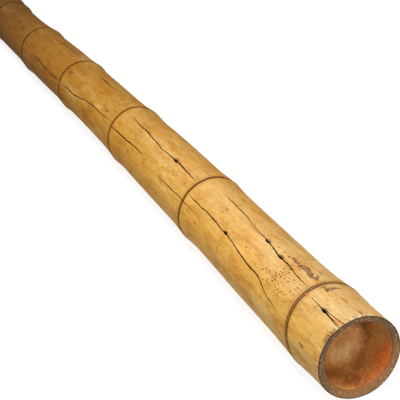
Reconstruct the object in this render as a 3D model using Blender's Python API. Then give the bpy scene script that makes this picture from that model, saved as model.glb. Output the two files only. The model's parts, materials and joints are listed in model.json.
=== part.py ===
# Bamboo cane: one length of hollow culm, sawn square at both ends and lying on its nodes.
# Metres, +Z up. X runs along the cane with the near cut at +X, and the origin is under its middle.
# A place on the cane is its distance from the near cut and its angle, from +Y towards +Z.

import math

import bmesh
import bpy
import numpy as np

MM = 0.001

# Driving dimensions of the culm
LENGTH = 1.500
NODE_AT = (0.0545, 0.335, 0.610, 0.878, 1.130, 1.392)
NODE_RADIUS = (0.0394, 0.0400, 0.0406, 0.0413, 0.0418, 0.0414)
MIDDLE_RADIUS = (0.0396, 0.0413, 0.0405, 0.0422, 0.0407)
NEAR_RADIUS, FAR_RADIUS = 0.0399, 0.0423
BEND = (-0.0014, 0.0017, 0.0029, 0.0013, -0.0036, -0.0053)

# Each node: a swelling that is shorter towards the near cut, and the ledge that its sheath left
SWELL_HEIGHT = 0.0017
SWELL_NEAR, SWELL_FAR = 0.0156, 0.0212
LEDGE_HEIGHT = 0.0009
LEDGE_FOOT, LEDGE_TOP = 0.0019, 0.0009
# How far a ring's side (+Y) and its top lie behind its centre, since no node is quite square
LEAN_SIDE = (0.0001, 0.0026, 0.0023, 0.0029, 0.0031, 0.0010)
LEAN_TOP = (0.0066, -0.0021, 0.0046, -0.0016, 0.0025, -0.0002)
LEAN_REACH = 0.050
FLAT_DEPTH = 0.0005

# The hollow inside
WALL_NEAR, WALL_FAR = 0.0073, 0.0075
# The near bore isn't quite in the middle, and the culm dips a little at the near cut
BORE_ASIDE, BORE_UP = -0.0005, 0.0014
NEAR_DIP = 0.0008
DIAPHRAGM = 0.0064
FILLET = 0.0145
RIM_CHAMFER = 0.0004

# Stations kept on each side of a node, and how finely the rings are divided
NODE_STATIONS = (-0.036, -0.020, -0.009, 0.009, 0.021, 0.042)
SKIN_SIDES = 32
HOLLOW_SIDES = 20
HOLE_SIDES = 8

# Drying splits: (distance in mm, degrees, width in mm) along each. Those named back, and far_stub, are on
# the side turned away, where they are guessed
SPLITS = {
    "stub": ((46, 119.5, 0.5), (36, 120, 1.2), (26, 120, 1.8), (18, 121, 2.0), (7, 122, 1.9), (-3, 123.5, 1.8)),
    "stub_branch": ((27, 119, 0.6), (18, 118.3, 0.9), (9, 117, 0.8), (-3, 115, 1.2)),
    "first_right_far": ((292, 96.7, 0.4), (262, 96, 1.1), (240, 96.7, 1.2), (222, 97.6, 1.1), (196, 100, 0.4)),
    "first_right": (
        (200, 102, 0.5), (181, 102, 1.6), (163, 102.7, 1.8), (149, 104.3, 1.7), (129, 106.7, 2.1), (113, 107.3, 1.8),
        (98, 109, 1.9), (81, 111, 1.4), (64, 112.5, 0.6),
    ),
    "first_left": (
        (331, 138, 0.5), (314, 138, 1.2), (290, 138.7, 1.5), (280, 137.5, 1.6), (244, 138, 1.6), (221, 139, 1.5),
        (206, 140, 1.5), (187, 143.5, 1.6), (163, 145.7, 1.9), (140, 148, 1.9), (126, 150, 1.7), (114, 155, 1.6),
        (106, 158.7, 1.4), (94, 161, 1.1), (82, 163, 0.5),
    ),
    "second_left": ((609, 151, 0.5), (582, 149, 1.5), (549, 149, 1.7), (512, 146, 1.4), (479, 145, 0.5)),
    "second_middle": (
        (585, 110, 0.5), (550, 111, 1.7), (517, 111, 1.8), (493, 113, 1.6), (463, 115, 1.4), (432, 114, 1.5),
        (411, 113, 1.9), (392, 114, 2.1), (370, 114, 1.7), (342, 116, 0.6),
    ),
    "second_low": ((424, 153, 0.4), (390, 153, 1.0), (363, 152, 1.1), (329, 152, 0.9), (294, 153, 0.4)),
    "third_left": (
        (871, 161, 0.5), (843, 161, 1.6), (801, 160, 1.8), (770, 157, 1.6), (754, 151.5, 1.4), (719, 149, 1.7),
        (678, 148, 1.5), (627, 145, 0.5),
    ),
    "third_right": ((790, 87, 0.5), (759, 88, 1.8), (716, 89, 0.5)),
    "fourth_left": ((1058, 156, 0.5), (1016, 159, 1.8), (964, 162, 2.1), (924, 163, 1.9), (883, 161, 0.6)),
    "fourth_right": ((1051, 89, 0.5), (1008, 87, 1.2), (973, 85, 1.5), (940, 84, 1.8), (899, 86, 0.5)),
    "back_first": ((318, 18, 0.5), (276, 16, 1.4), (228, 19, 1.7), (180, 21, 1.4), (132, 20, 0.5)),
    "back_second": ((586, -24, 0.5), (540, -22, 1.4), (486, -25, 1.6), (430, -23, 0.5)),
    "back_third": ((846, 31, 0.5), (800, 33, 1.5), (742, 30, 1.6), (690, 32, 0.5)),
    "back_fourth": ((1096, -8, 0.5), (1050, -10, 1.3), (1000, -7, 0.5)),
    "back_fifth": ((1370, 12, 0.5), (1316, 14, 1.6), (1250, 11, 1.8), (1196, 13, 1.4), (1150, 12, 0.5)),
    "far_stub": ((1503, -38, 1.8), (1478, -37, 1.5), (1444, -38, 1.1), (1416, -37, 0.4)),
}
SPLIT_OVERREACH = 0.004
SPLIT_FLOOR = 0.55

# Exit holes of boring beetles: (distance in mm, degrees, length along the cane in mm, width in mm)
HOLES = (
    (26, 120, 4.4, 4.0),
    (163, 102.8, 5.0, 4.2),
    (129, 106.8, 6.2, 4.2),
    (221.5, 138.8, 4.4, 3.0),
    (410, 112.8, 5.4, 4.6),
    (768, 32, 4.6, 4.2),
    (1268, 12, 4.8, 4.2),
)
HOLE_DEPTH = 0.0125

KNOTS = (0.0, *NODE_AT, LENGTH)


def through(knots, values, at):
    """A smooth curve through the values, each knot's slope taken from its neighbours."""
    knots, values = np.asarray(knots, float), np.asarray(values, float)
    slope = np.gradient(values, knots)
    at = float(np.clip(at, knots[0], knots[-1]))
    i = int(np.clip(np.searchsorted(knots, at, side="right") - 1, 0, len(knots) - 2))
    gap = knots[i + 1] - knots[i]
    t = (at - knots[i]) / gap
    return (
        (2 * t**3 - 3 * t**2 + 1) * values[i]
        + (t**3 - 2 * t**2 + t) * gap * slope[i]
        + (3 * t**2 - 2 * t**3) * values[i + 1]
        + (t**3 - t**2) * gap * slope[i + 1]
    )


def girth(at):
    """The culm's radius without its nodes' swellings."""
    knots, values = [0.0, NODE_AT[0]], [NEAR_RADIUS, NODE_RADIUS[0]]
    for before, after, middle, radius in zip(NODE_AT, NODE_AT[1:], MIDDLE_RADIUS, NODE_RADIUS[1:]):
        knots += [(before + after) / 2, after]
        values += [middle, radius]
    return through(knots + [LENGTH], values + [FAR_RADIUS], at)


def swelling(at):
    total = 0.0
    for node in NODE_AT:
        away = at - node
        reach = SWELL_FAR if away > 0 else SWELL_NEAR
        total += SWELL_HEIGHT * math.exp(-0.5 * (away / reach) ** 2)
    return total


def axis(at):
    """(y, z) of the culm's middle: a slight bend sideways, and level along the undersides of the nodes."""
    node_heights = [radius + SWELL_HEIGHT + LEDGE_HEIGHT - FLAT_DEPTH for radius in NODE_RADIUS]
    heights = [node_heights[0] - NEAR_DIP, *node_heights, node_heights[-1]]
    return through(KNOTS, (0.0, *BEND, 0.0), at), through(KNOTS, heights, at)


def lean(at, angle):
    """How far back a point of a ring lies, near a node that isn't square."""
    total = 0.0
    for node, side, top in zip(NODE_AT, LEAN_SIDE, LEAN_TOP):
        fade = max(0.0, 1 - ((at - node) / LEAN_REACH) ** 2) ** 2
        total += fade * (side * math.cos(angle) + top * math.sin(angle))
    return total


def point(at, angle, radius):
    y, z = axis(at)
    return (LENGTH / 2 - at - lean(at, angle), y + radius * math.cos(angle), z + radius * math.sin(angle))


def ring_angles(sides):
    """Half a step off the bottom, so that a flat side faces down."""
    return [math.radians(-90) + (i + 0.5) * math.tau / sides for i in range(sides)]


def lofted(name, rings):
    """A closed solid through rings of points, with the first and last ring filled."""
    mesh = bmesh.new()
    rows = [[mesh.verts.new(place) for place in ring] for ring in rings]
    for first, second in zip(rows, rows[1:]):
        for i in range(len(first)):
            j = (i + 1) % len(first)
            mesh.faces.new((first[i], first[j], second[j], second[i]))
    mesh.faces.new(reversed(rows[0]))
    mesh.faces.new(rows[-1])
    bmesh.ops.recalc_face_normals(mesh, faces=mesh.faces)
    data = bpy.data.meshes.new(name)
    mesh.to_mesh(data)
    mesh.free()
    return bpy.data.objects.new(name, data)


def skin_stations():
    """(distance, radius) of each ring of the outside, with the ledge's four at every node."""
    stations = [(0.0, girth(0.0) - RIM_CHAMFER), (0.0008, girth(0.0)), (0.020, None)]
    for before, after in zip(NODE_AT, NODE_AT[1:]):
        stations += [(before + part * (after - before), None) for part in (0.36, 0.5, 0.66)]
    for node in NODE_AT:
        stations += [(node + step, None) for step in NODE_STATIONS if node + step > 0.021]
        for step, rise in ((-LEDGE_FOOT, 0), (-LEDGE_TOP, LEDGE_HEIGHT), (LEDGE_TOP, LEDGE_HEIGHT), (LEDGE_FOOT, 0)):
            stations.append((node + step, girth(node) + swelling(node) + rise))
    stations += [(LENGTH - 0.035, None), (LENGTH - 0.0008, None), (LENGTH, girth(LENGTH) - RIM_CHAMFER)]
    return [(at, girth(at) + swelling(at) if radius is None else radius) for at, radius in sorted(stations)]


def make_skin():
    """The solid outside, flattened where its nodes rest."""
    rings = []
    for at, radius in skin_stations():
        places = [point(at, angle, radius) for angle in ring_angles(SKIN_SIDES)]
        rings.append([(x, y, max(z, 0.0)) for x, y, z in places])
    return lofted("culm", rings)


def bore(at):
    """The radius of the hollow, away from the diaphragms."""
    return girth(at) - WALL_NEAR - (WALL_FAR - WALL_NEAR) * at / LENGTH


def hollow_rings(start, stop, start_closed, stop_closed, aside=0.0, up=0.0):
    """Rings of one hollow, rounded into its diaphragms where it is closed."""
    stations = []
    turns = [math.radians(angle) for angle in (0, 30, 60, 90)]
    if start_closed:
        stations += [(start + FILLET * (1 - math.sin(turn)), FILLET * (1 - math.cos(turn))) for turn in reversed(turns)]
    else:
        stations.append((start, 0.0))
    stations.append(((start + stop) / 2, 0.0))
    if stop_closed:
        stations += [(stop - FILLET * (1 - math.sin(turn)), FILLET * (1 - math.cos(turn))) for turn in turns]
    else:
        stations.append((stop, 0.0))
    rings = []
    for at, inset in stations:
        places = [point(at, angle, bore(at) - inset) for angle in ring_angles(HOLLOW_SIDES)]
        rings.append([(x, y + aside, z + up) for x, y, z in places])
    return rings


def make_hollows():
    past = 0.004
    half = DIAPHRAGM / 2
    near_rings = hollow_rings(-past, NODE_AT[0] - half, False, True, BORE_ASIDE, BORE_UP)
    cutters = [lofted("near_hollow", near_rings)]
    for before, after in zip(NODE_AT, NODE_AT[1:]):
        cutters.append(lofted("hollow", hollow_rings(before + half, after - half, True, True)))
    cutters.append(lofted("far_hollow", hollow_rings(NODE_AT[-1] + half, LENGTH + past, True, False)))
    return cutters


def make_split(name, path):
    """A wedge along the path, through the wall except at its ends, where it runs out."""
    rings = []
    for i, (distance, degrees, width) in enumerate(path):
        at, angle = distance * MM, math.radians(degrees)
        inside_length = 0 < at < LENGTH
        runs_out = i in (0, len(path) - 1) and inside_length
        surface = girth(at) + swelling(at) + LEDGE_HEIGHT + SPLIT_OVERREACH
        floor = bore(at) - SPLIT_OVERREACH
        if runs_out:
            floor = girth(at) - 0.0015
        half_turn = width * MM / 2 / girth(at)
        rings.append([
            point(at, angle - half_turn, surface),
            point(at, angle + half_turn, surface),
            point(at, angle + half_turn * SPLIT_FLOOR, floor),
            point(at, angle - half_turn * SPLIT_FLOOR, floor),
        ])
    return lofted(f"split_{name}", rings)


def make_hole(index, distance, degrees, hole_length, hole_width):
    """A short round tunnel, straight into the wall."""
    at, angle = distance * MM, math.radians(degrees)
    top = girth(at) + swelling(at) + SPLIT_OVERREACH
    rings = []
    for radius in (top, top - SPLIT_OVERREACH - HOLE_DEPTH):
        rings.append([
            point(
                at + hole_length * MM / 2 * math.cos(turn),
                angle + hole_width * MM / 2 * math.sin(turn) / girth(at),
                radius,
            )
            for turn in (i * math.tau / HOLE_SIDES for i in range(HOLE_SIDES))
        ])
    return lofted(f"hole_{index}", rings)


def bamboo_material():
    material = bpy.data.materials.new("bamboo")
    material.use_nodes = True
    shader = material.node_tree.nodes["Principled BSDF"]
    shader.inputs["Base Color"].default_value = (0.62, 0.40, 0.15, 1.0)
    shader.inputs["Roughness"].default_value = 0.42
    shader.inputs["Metallic"].default_value = 0.0
    return material


def centre(objects, skin):
    """Moves every mesh so that the origin is under the middle of the skin's box."""
    sideways = [vertex.co.y for vertex in skin.data.vertices]
    shift = -(min(sideways) + max(sideways)) / 2
    for item in objects:
        for vertex in item.data.vertices:
            vertex.co.y += shift


def main():
    for item in list(bpy.data.objects):
        bpy.data.objects.remove(item, do_unlink=True)

    culm = make_skin()
    bpy.context.scene.collection.objects.link(culm)
    culm.data.materials.append(bamboo_material())
    culm.data.shade_smooth()

    cutters = make_hollows()
    cutters += [make_split(name, path) for name, path in SPLITS.items()]
    cutters += [make_hole(i, *hole) for i, hole in enumerate(HOLES)]
    centre([culm, *cutters], culm)

    tools = bpy.data.collections.new("cutters")
    bpy.context.scene.collection.children.link(tools)
    for cutter in cutters:
        tools.objects.link(cutter)
        cutter.hide_render = True
        cutter.display_type = "WIRE"

    cut = culm.modifiers.new("hollow and splits", "BOOLEAN")
    cut.operation = "DIFFERENCE"
    cut.operand_type = "COLLECTION"
    cut.collection = tools
    cut.solver = "EXACT"


main()
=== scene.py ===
# Bamboo cane: one length of hollow culm, sawn square at both ends and lying on the undersides of its nodes.
# Metres, +Z up. X runs along the cane, with the near cut at +X.
# A place on the culm is its distance from the near cut and its angle, from +Y towards +Z.

import functools
import json
import math

import bmesh
import bpy
import numpy as np
from mathutils import Euler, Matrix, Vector

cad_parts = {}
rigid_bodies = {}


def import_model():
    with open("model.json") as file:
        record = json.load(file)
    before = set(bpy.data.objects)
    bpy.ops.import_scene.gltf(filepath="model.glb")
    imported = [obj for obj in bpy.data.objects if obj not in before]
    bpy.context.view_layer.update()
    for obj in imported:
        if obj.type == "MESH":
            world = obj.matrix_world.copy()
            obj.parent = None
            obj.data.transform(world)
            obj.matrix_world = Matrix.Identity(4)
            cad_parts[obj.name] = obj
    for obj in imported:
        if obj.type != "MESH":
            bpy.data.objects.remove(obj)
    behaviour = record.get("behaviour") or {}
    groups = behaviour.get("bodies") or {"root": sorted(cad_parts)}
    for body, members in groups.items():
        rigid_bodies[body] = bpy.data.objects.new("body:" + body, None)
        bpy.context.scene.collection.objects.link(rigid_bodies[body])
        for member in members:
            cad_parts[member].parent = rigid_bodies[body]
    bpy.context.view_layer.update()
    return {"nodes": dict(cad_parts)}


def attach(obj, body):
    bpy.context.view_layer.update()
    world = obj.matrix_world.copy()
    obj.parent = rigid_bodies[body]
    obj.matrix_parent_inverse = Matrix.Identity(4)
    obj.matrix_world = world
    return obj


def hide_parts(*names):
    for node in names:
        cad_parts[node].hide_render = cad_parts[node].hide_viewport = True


mm = 0.001

for item in list(bpy.data.objects):
    bpy.data.objects.remove(item, do_unlink=True)

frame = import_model()
print("frame loaded:", sorted(frame["nodes"]))


# Node trees, for geometry and for materials alike

current = {}  # its "tree" is the node tree opened last, which put adds to


class Field:
    # one output of a node; arithmetic with it adds math nodes
    def __init__(self, socket):
        self.socket = socket

    def __add__(self, other):
        return calc("ADD", self, other)

    def __mul__(self, other):
        return calc("MULTIPLY", self, other)

    def __sub__(self, other):
        return calc("SUBTRACT", self, other)

    def __rsub__(self, other):
        return calc("SUBTRACT", other, self)

    def __truediv__(self, other):
        return calc("DIVIDE", self, other)

    def __rtruediv__(self, other):
        return calc("DIVIDE", other, self)

    def __pow__(self, other):
        return calc("POWER", self, other)

    def __abs__(self):
        return calc("ABSOLUTE", self)

    __radd__, __rmul__ = __add__, __mul__


def feed(socket, value):
    # links a field to the socket or sets a plain value on it; None leaves it alone
    if isinstance(value, Field):
        current["tree"].links.new(value.socket, socket)
    elif value is not None:
        socket.default_value = value


def put(kind, inputs=None, output=0, **settings):
    # adds a node and gives back one of its outputs, or all by name and by number when output is None
    nodes = current["tree"].nodes
    node = nodes.new(kind)
    node.location = (len(nodes) % 14 * 190, -(len(nodes) // 14) * 240)
    for key, value in settings.items():
        setattr(node, key, value)
    for key, value in (inputs or {}).items():
        feed(node.inputs[key], value)
    sockets = reversed([*enumerate(node.outputs)])  # so the first of a name is the one that stays
    found = {key: Field(socket) for i, socket in sockets for key in (i, socket.name)}
    return found if output is None else found[output]


def newTree(name, kind, inputs, outputs):
    # opens a tree; each input has a default number or a kind, and each output a kind
    tree = current["tree"] = bpy.data.node_groups.new(name, kind)
    for label, value in inputs.items():
        named = value if isinstance(value, str) else {int: "Int", float: "Float"}[type(value)]
        socket = tree.interface.new_socket(label, in_out="INPUT", socket_type="NodeSocket" + named)
        if named is not value:
            socket.default_value = value
    for label, named in outputs.items():
        tree.interface.new_socket(label, in_out="OUTPUT", socket_type="NodeSocket" + named)
    return tree, put("NodeGroupInput", output=None)


def finished(tree, outputs):
    put("NodeGroupOutput", outputs, output=None)
    return tree


def calc(operation, *values):
    return put("ShaderNodeMath", dict(enumerate(values)), operation=operation)


def scaled(value, factor, added):
    return calc("MULTIPLY_ADD", value, factor, added)


def clamped(value):
    # keeps the math node's result between 0 and 1
    value.socket.node.use_clamp = True
    return value


def highest(values):
    return functools.reduce(lambda first, second: calc("MAXIMUM", first, second), values)


def combined(*values):
    return put("ShaderNodeCombineXYZ", dict(enumerate(values)))


def parted(value):
    return put("ShaderNodeSeparateXYZ", {0: value}, output=None)


def vector(operation, first, second, output=0):
    return put("ShaderNodeVectorMath", {0: first, 1: second}, output, operation=operation)


def noise(place, scale, detail=2.0, distortion=0.0, output=0):
    return put("ShaderNodeTexNoise", {
        "Vector": place, "Scale": scale, "Detail": detail, "Distortion": distortion}, output)


def floatCurve(value, points):
    # points are (place, height), both from 0 to 1
    result = put("ShaderNodeFloatCurve", {"Value": value})
    mapping = result.socket.node.mapping
    curve = mapping.curves[0]
    while len(curve.points) < len(points):
        curve.points.new(0.5, 0.5)
    for point, (place, height) in zip(curve.points, points):
        point.location = (place, height)
    mapping.update()
    return result


def evaluatedMesh(item, name):
    # the tree's result as a plain mesh, closed and facing outwards
    graph = bpy.context.evaluated_depsgraph_get()
    mesh = bpy.data.meshes.new_from_object(item.evaluated_get(graph), depsgraph=graph)
    mesh.name = name
    work = bmesh.new()
    work.from_mesh(mesh)
    bmesh.ops.recalc_face_normals(work, faces=work.faces)
    work.to_mesh(mesh)
    work.free()
    return mesh


def runTree(name, mesh, tree, values):
    # puts the tree on a new object made from this mesh, and gives back the plain mesh that it makes
    item = bpy.data.objects.new(name, mesh)
    bpy.context.scene.collection.objects.link(item)
    modifier = item.modifiers.new(tree.name, "NODES")
    modifier.node_group = tree
    names = {s.name: s.identifier for s in tree.interface.items_tree if s.item_type == "SOCKET"}
    for label, value in values.items():
        modifier[names[label]] = value
    item.update_tag()
    result = evaluatedMesh(item, name)
    item.modifiers.remove(modifier)
    bpy.data.objects.remove(item, do_unlink=True)
    return result


# The culm's rule: girth, bend and rings, the same as in the solids

culm = {
    "length": 1.500,
    "nodeAt": (0.0545, 0.335, 0.610, 0.878, 1.130, 1.392),
    "nodeRadius": (0.0394, 0.0400, 0.0406, 0.0413, 0.0418, 0.0414),
    "middleRadius": (0.0396, 0.0413, 0.0405, 0.0422, 0.0407),
    "nearRadius": 0.0399, "farRadius": 0.0423,
    "bend": (-0.0014, 0.0017, 0.0029, 0.0013, -0.0036, -0.0053),
    "sideways": 0.001612,  # brings the middle of the box over the origin
    "swellHeight": 0.0017, "swellNear": 0.0156, "swellFar": 0.0212,
    "ledgeInSolid": 0.0009, "flatDepth": 0.0005,
    "leanSide": (0.0001, 0.0026, 0.0023, 0.0029, 0.0031, 0.0010),
    "leanTop": (0.0066, -0.0021, 0.0046, -0.0016, 0.0025, -0.0002),
    "leanReach": 0.050,
    "wave": 0.00032, "wavePhase": (0.4, 2.1, 4.0, 5.3, 1.2, 3.1),  # how far a ring wanders along the cane
    "waves": ((3, 1, 1.0), (7, 2, 0.6), (16, 3, 0.4)),  # turns, times the phase, and size
    "usualRadius": 0.041,  # turns an angle into a distance round the culm
    "wallNear": 0.0073, "wallFar": 0.0075,
    "nearDip": 0.0008,
}


def through(knots, values, at):
    # a smooth curve through the values, each knot's slope taken from its neighbours
    knots, values, at = (np.asarray(v, float) for v in (knots, values, at))
    slope = np.gradient(values, knots)
    at = np.clip(at, knots[0], knots[-1])
    i = np.clip(np.searchsorted(knots, at, side="right") - 1, 0, len(knots) - 2)
    gap = knots[i + 1] - knots[i]
    t = (at - knots[i]) / gap
    return ((2 * t**3 - 3 * t**2 + 1) * values[i] + (t**3 - 2 * t**2 + t) * gap * slope[i]
            + (3 * t**2 - 2 * t**3) * values[i + 1] + (t**3 - t**2) * gap * slope[i + 1])


def girth(at):
    nodes = culm["nodeAt"]
    knots, values = [0.0, nodes[0]], [culm["nearRadius"], culm["nodeRadius"][0]]
    for before, after, middle, radius in zip(nodes, nodes[1:], culm["middleRadius"], culm["nodeRadius"][1:]):
        knots += [(before + after) / 2, after]
        values += [middle, radius]
    return through(knots + [culm["length"]], values + [culm["farRadius"]], at)


def swelling(at):
    total = np.zeros_like(np.asarray(at, float))
    for node in culm["nodeAt"]:
        away = at - node
        reach = np.where(away > 0, culm["swellFar"], culm["swellNear"])
        total += culm["swellHeight"] * np.exp(-0.5 * (away / reach) ** 2)
    return total


def middle(at):
    # (x, y, z) of the culm's middle line
    rise = culm["swellHeight"] + culm["ledgeInSolid"] - culm["flatDepth"]
    heights = [radius + rise for radius in culm["nodeRadius"]]
    heights = [heights[0] - culm["nearDip"], *heights, heights[-1]]
    knots = (0.0, *culm["nodeAt"], culm["length"])
    y = through(knots, (0.0, *culm["bend"], 0.0), at) + culm["sideways"]
    return np.stack([culm["length"] / 2 - np.asarray(at, float), y, through(knots, heights, at)], -1)


def ringTerms(at):
    # how far back a ring's side and its top lie, and the size and phase of its wandering
    terms = np.zeros((4, *np.shape(at)))
    for node, side, top, phase in zip(culm["nodeAt"], culm["leanSide"], culm["leanTop"], culm["wavePhase"]):
        fade = np.maximum(0, 1 - ((at - node) / culm["leanReach"]) ** 2) ** 2
        terms += fade * np.array([side, top, culm["wave"], 0.0]).reshape(-1, *[1] * np.ndim(at))
        terms[3] = np.where(fade > 0, phase, terms[3])
    return terms


def leanAt(at, angle):
    side, top, wave, phase = ringTerms(at)
    wander = sum(size * np.sin(turns * angle + times * phase) for turns, times, size in culm["waves"])
    return side * np.cos(angle) + top * np.sin(angle) + wave * wander


def unrolled(points):
    # (distance, angle, radius) of any points of the culm
    at = culm["length"] / 2 - points[:, 0]
    for _ in range(8):
        line = middle(at)
        angle = np.arctan2(points[:, 2] - line[:, 2], points[:, 1] - line[:, 1])
        at = culm["length"] / 2 - points[:, 0] - leanAt(at, angle)
    line = middle(at)
    away = points[:, 1:] - line[:, 1:]
    return at, np.arctan2(away[:, 1], away[:, 0]), np.hypot(away[:, 0], away[:, 1])


def bore(at):
    return girth(at) - culm["wallNear"] - (culm["wallFar"] - culm["wallNear"]) * at / culm["length"]


def unrolledMesh(mesh):
    points = np.empty(len(mesh.vertices) * 3)
    mesh.vertices.foreach_get("co", points)
    return unrolled(points.reshape(-1, 3))


def store(mesh, name, values):
    kind, field = ("FLOAT_VECTOR", "vector") if values.ndim == 2 else ("FLOAT", "value")
    mesh.attributes.new(name, kind, "POINT").data.foreach_set(field, values.astype(np.float32).ravel())


def stationMesh(name, runs):
    # one chain of edges for each run of stations, which carries what the trees read at every station
    points, edges, columns = [], [], {}
    for run in runs:
        at = np.asarray(run["at"], float)
        side, top, wave, phase = ringTerms(at)
        nearest = np.array(culm["nodeAt"])[np.abs(at[:, None] - np.array(culm["nodeAt"])).argmin(1)]
        run = {"angle": 0 * at, "width": 0 * at, "floor": 0 * at, "shift": np.zeros((len(at), 3)), **run}
        given = {"distance": at, "ringGap": at - nearest, "leanSide": side, "leanTop": top, "wave": wave,
                 "wavePhase": phase, "middle": middle(at) + run["shift"]}
        for key in ("angle", "width", "floor", "away"):
            given[key] = np.asarray(run[key], float)
        for key, value in given.items():
            columns.setdefault(key, []).append(value)
        first = len(points)
        points += [(-i * 0.01, 0.1 * len(edges), 0.0) for i in range(len(at))]
        edges += [(first + i, first + i + 1) for i in range(len(at) - 1)]
    mesh = bpy.data.meshes.new(name)
    mesh.from_pydata(points, edges, [])
    for key, parts in columns.items():
        store(mesh, key, np.concatenate(parts))
    return mesh


def attribute(name, kind="FLOAT"):
    return put("GeometryNodeInputNamedAttribute", {"Name": name}, data_type=kind)


def makePlaceGroup():
    # the position of an angle and a radius at the station that carries the attributes
    tree, given = newTree("placeOnCulm", "GeometryNodeTree", {"Angle": 0.0, "Radius": 0.04},
                          {"Position": "Vector"})
    angle, radius = given["Angle"], given["Radius"]
    cosine, sine, phase = calc("COSINE", angle), calc("SINE", angle), attribute("wavePhase")
    waves = [calc("SINE", scaled(angle, turns, phase * times)) * size for turns, times, size in culm["waves"]]
    leaning = attribute("leanSide") * cosine + attribute("leanTop") * sine
    back = leaning + attribute("wave") * sum(waves[1:], waves[0])
    offset = combined(back * -1, radius * cosine, radius * sine)
    return finished(tree, {"Position": vector("ADD", attribute("middle", "FLOAT_VECTOR"), offset)})


def placed(angle, radius):
    return put("GeometryNodeGroup", {"Angle": angle, "Radius": radius}, node_tree=placeGroup)


placeGroup = makePlaceGroup()


def storedField(geometry, name, value):
    return put("GeometryNodeStoreNamedAttribute", {"Geometry": geometry, "Name": name, "Value": value})


def swept(stations, profile):
    # a tube along each chain of stations, closed at its ends
    line = put("GeometryNodeMeshToCurve", {"Mesh": stations})
    return put("GeometryNodeCurveToMesh", {"Curve": line, "Profile Curve": profile, "Fill Caps": True})


def dressed(geometry, material):
    geometry = put("GeometryNodeRealizeInstances", {"Geometry": geometry})
    return put("GeometryNodeSetMaterial", {"Geometry": geometry, "Material": material})


# The skin and the hollows: a tube along the stations, with the swelling and the ledge of each node

tubeShape = {
    "ledge": (  # place from before the ring to after it, and height, 0.5 being the skin
        (0.0, 0.5), (0.16, 0.48), (0.27, 0.38), (0.35, 0.42), (0.42, 0.86), (0.50, 1.0), (0.58, 0.88),
        (0.65, 0.44), (0.73, 0.34), (0.88, 0.48), (1.0, 0.5)),
    "ledgeSpan": 0.006, "ledgeVaries": (0.9, 0.5),  # how the height follows the slow noise
    "slowAlong": 9, "slowScale": 1.3, "slowMiddle": 0.62, "bumpDetail": 3.0,
}


def makeTubeTree():
    tree, given = newTree("tubeOnCulm", "GeometryNodeTree", {
        "Stations": "Geometry", "Sides": 64, "Swelling height": 0.0, "Swelling near": 0.016,
        "Swelling far": 0.021, "Ledge height": 0.0, "Unevenness": 0.0, "Bumps": 0.0, "Bump scale": 90.0,
        "Lowest": -1.0, "Wall": "Material", "End": "Material"}, {"Tube": "Geometry"})
    circle = put("GeometryNodeCurvePrimitiveCircle", {"Resolution": given["Sides"], "Radius": 0.01})
    turn = scaled(put("GeometryNodeInputIndex") + 0.5, math.tau / given["Sides"], -math.pi / 2)
    tube = swept(given["Stations"], storedField(circle, "turn", turn))

    angle, gap, distance, away = (attribute(key) for key in ("turn", "ringGap", "distance", "away"))
    cosine, sine = calc("COSINE", angle), calc("SINE", angle)
    reach = put("GeometryNodeSwitch", {
        "Switch": put("FunctionNodeCompare", {0: gap, 1: 0.0}, operation="GREATER_THAN"),
        "False": given["Swelling near"], "True": given["Swelling far"]}, input_type="FLOAT")
    swell = calc("EXPONENT", (gap / reach) ** 2 * -0.5) * given["Swelling height"]
    slow = noise(combined(distance * tubeShape["slowAlong"], cosine, sine), tubeShape["slowScale"])
    # clamped, because the curve gives 0, not its last height, outside 0 to 1
    height = floatCurve(clamped(scaled(gap, 1 / tubeShape["ledgeSpan"], 0.5)), tubeShape["ledge"])
    height = scaled(height, 2, -1) * given["Ledge height"] * scaled(slow, *tubeShape["ledgeVaries"])
    uneven = (slow - tubeShape["slowMiddle"]) * given["Unevenness"]
    rough = noise(combined(distance, cosine * away, sine * away), given["Bump scale"],
                  tubeShape["bumpDetail"])
    rough = (rough - 0.5) * given["Bumps"]
    parts = parted(placed(angle, away + swell + height + uneven + rough))
    position = combined(parts[0], parts[1], calc("MAXIMUM", parts[2], given["Lowest"]))
    tube = put("GeometryNodeSetPosition", {"Geometry": tube, "Position": position})
    tube = dressed(tube, given["Wall"])
    isEnd = put("FunctionNodeCompare", {2: put("GeometryNodeInputMeshFaceNeighbors"), 3: 4},
                data_type="INT", operation="GREATER_THAN")
    return finished(tree, {"Tube": put("GeometryNodeSetMaterial", {
        "Geometry": tube, "Selection": isEnd, "Material": given["End"]})})


skin = {
    "sides": 124, "spacing": 0.0062, "ledgeSpacing": 0.00034, "ledgeReach": 0.0031,
    "ledgeHeight": 0.00044, "unevenness": 0.0007, "rimChamfer": 0.0003, "chamferReach": 0.0006,
    "rimStations": (0.0, 0.0004, 0.0012, 0.003), "ledgeClear": 0.0012, "sharpAngle": 38,
}


def skinStations():
    length, rim = culm["length"], skin["rimStations"]
    places = [*rim, *[length - at for at in rim]]
    for node in culm["nodeAt"]:
        count = round(2 * skin["ledgeReach"] / skin["ledgeSpacing"])
        places += list(node + np.linspace(-skin["ledgeReach"], skin["ledgeReach"], count + 1))
    clear = skin["ledgeReach"] + skin["ledgeClear"]
    edges = [rim[-1], *[node + side * clear for node in culm["nodeAt"] for side in (-1, 1)], length - rim[-1]]
    for start, stop in zip(edges[::2], edges[1::2]):
        count = max(2, round((stop - start) / skin["spacing"]))
        places += list(np.linspace(start, stop, count + 1)[1 if start == rim[-1] else 0:])
    places = np.unique(np.round(places, 6))
    chamfer, reach = skin["rimChamfer"], skin["chamferReach"]
    inset = np.interp(places, [0, reach, length - reach, length], [chamfer, 0, 0, chamfer])
    return {"at": places, "away": girth(places) - inset}


# The hollows: the open cup at each end, and the closed chambers that the splits show

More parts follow.
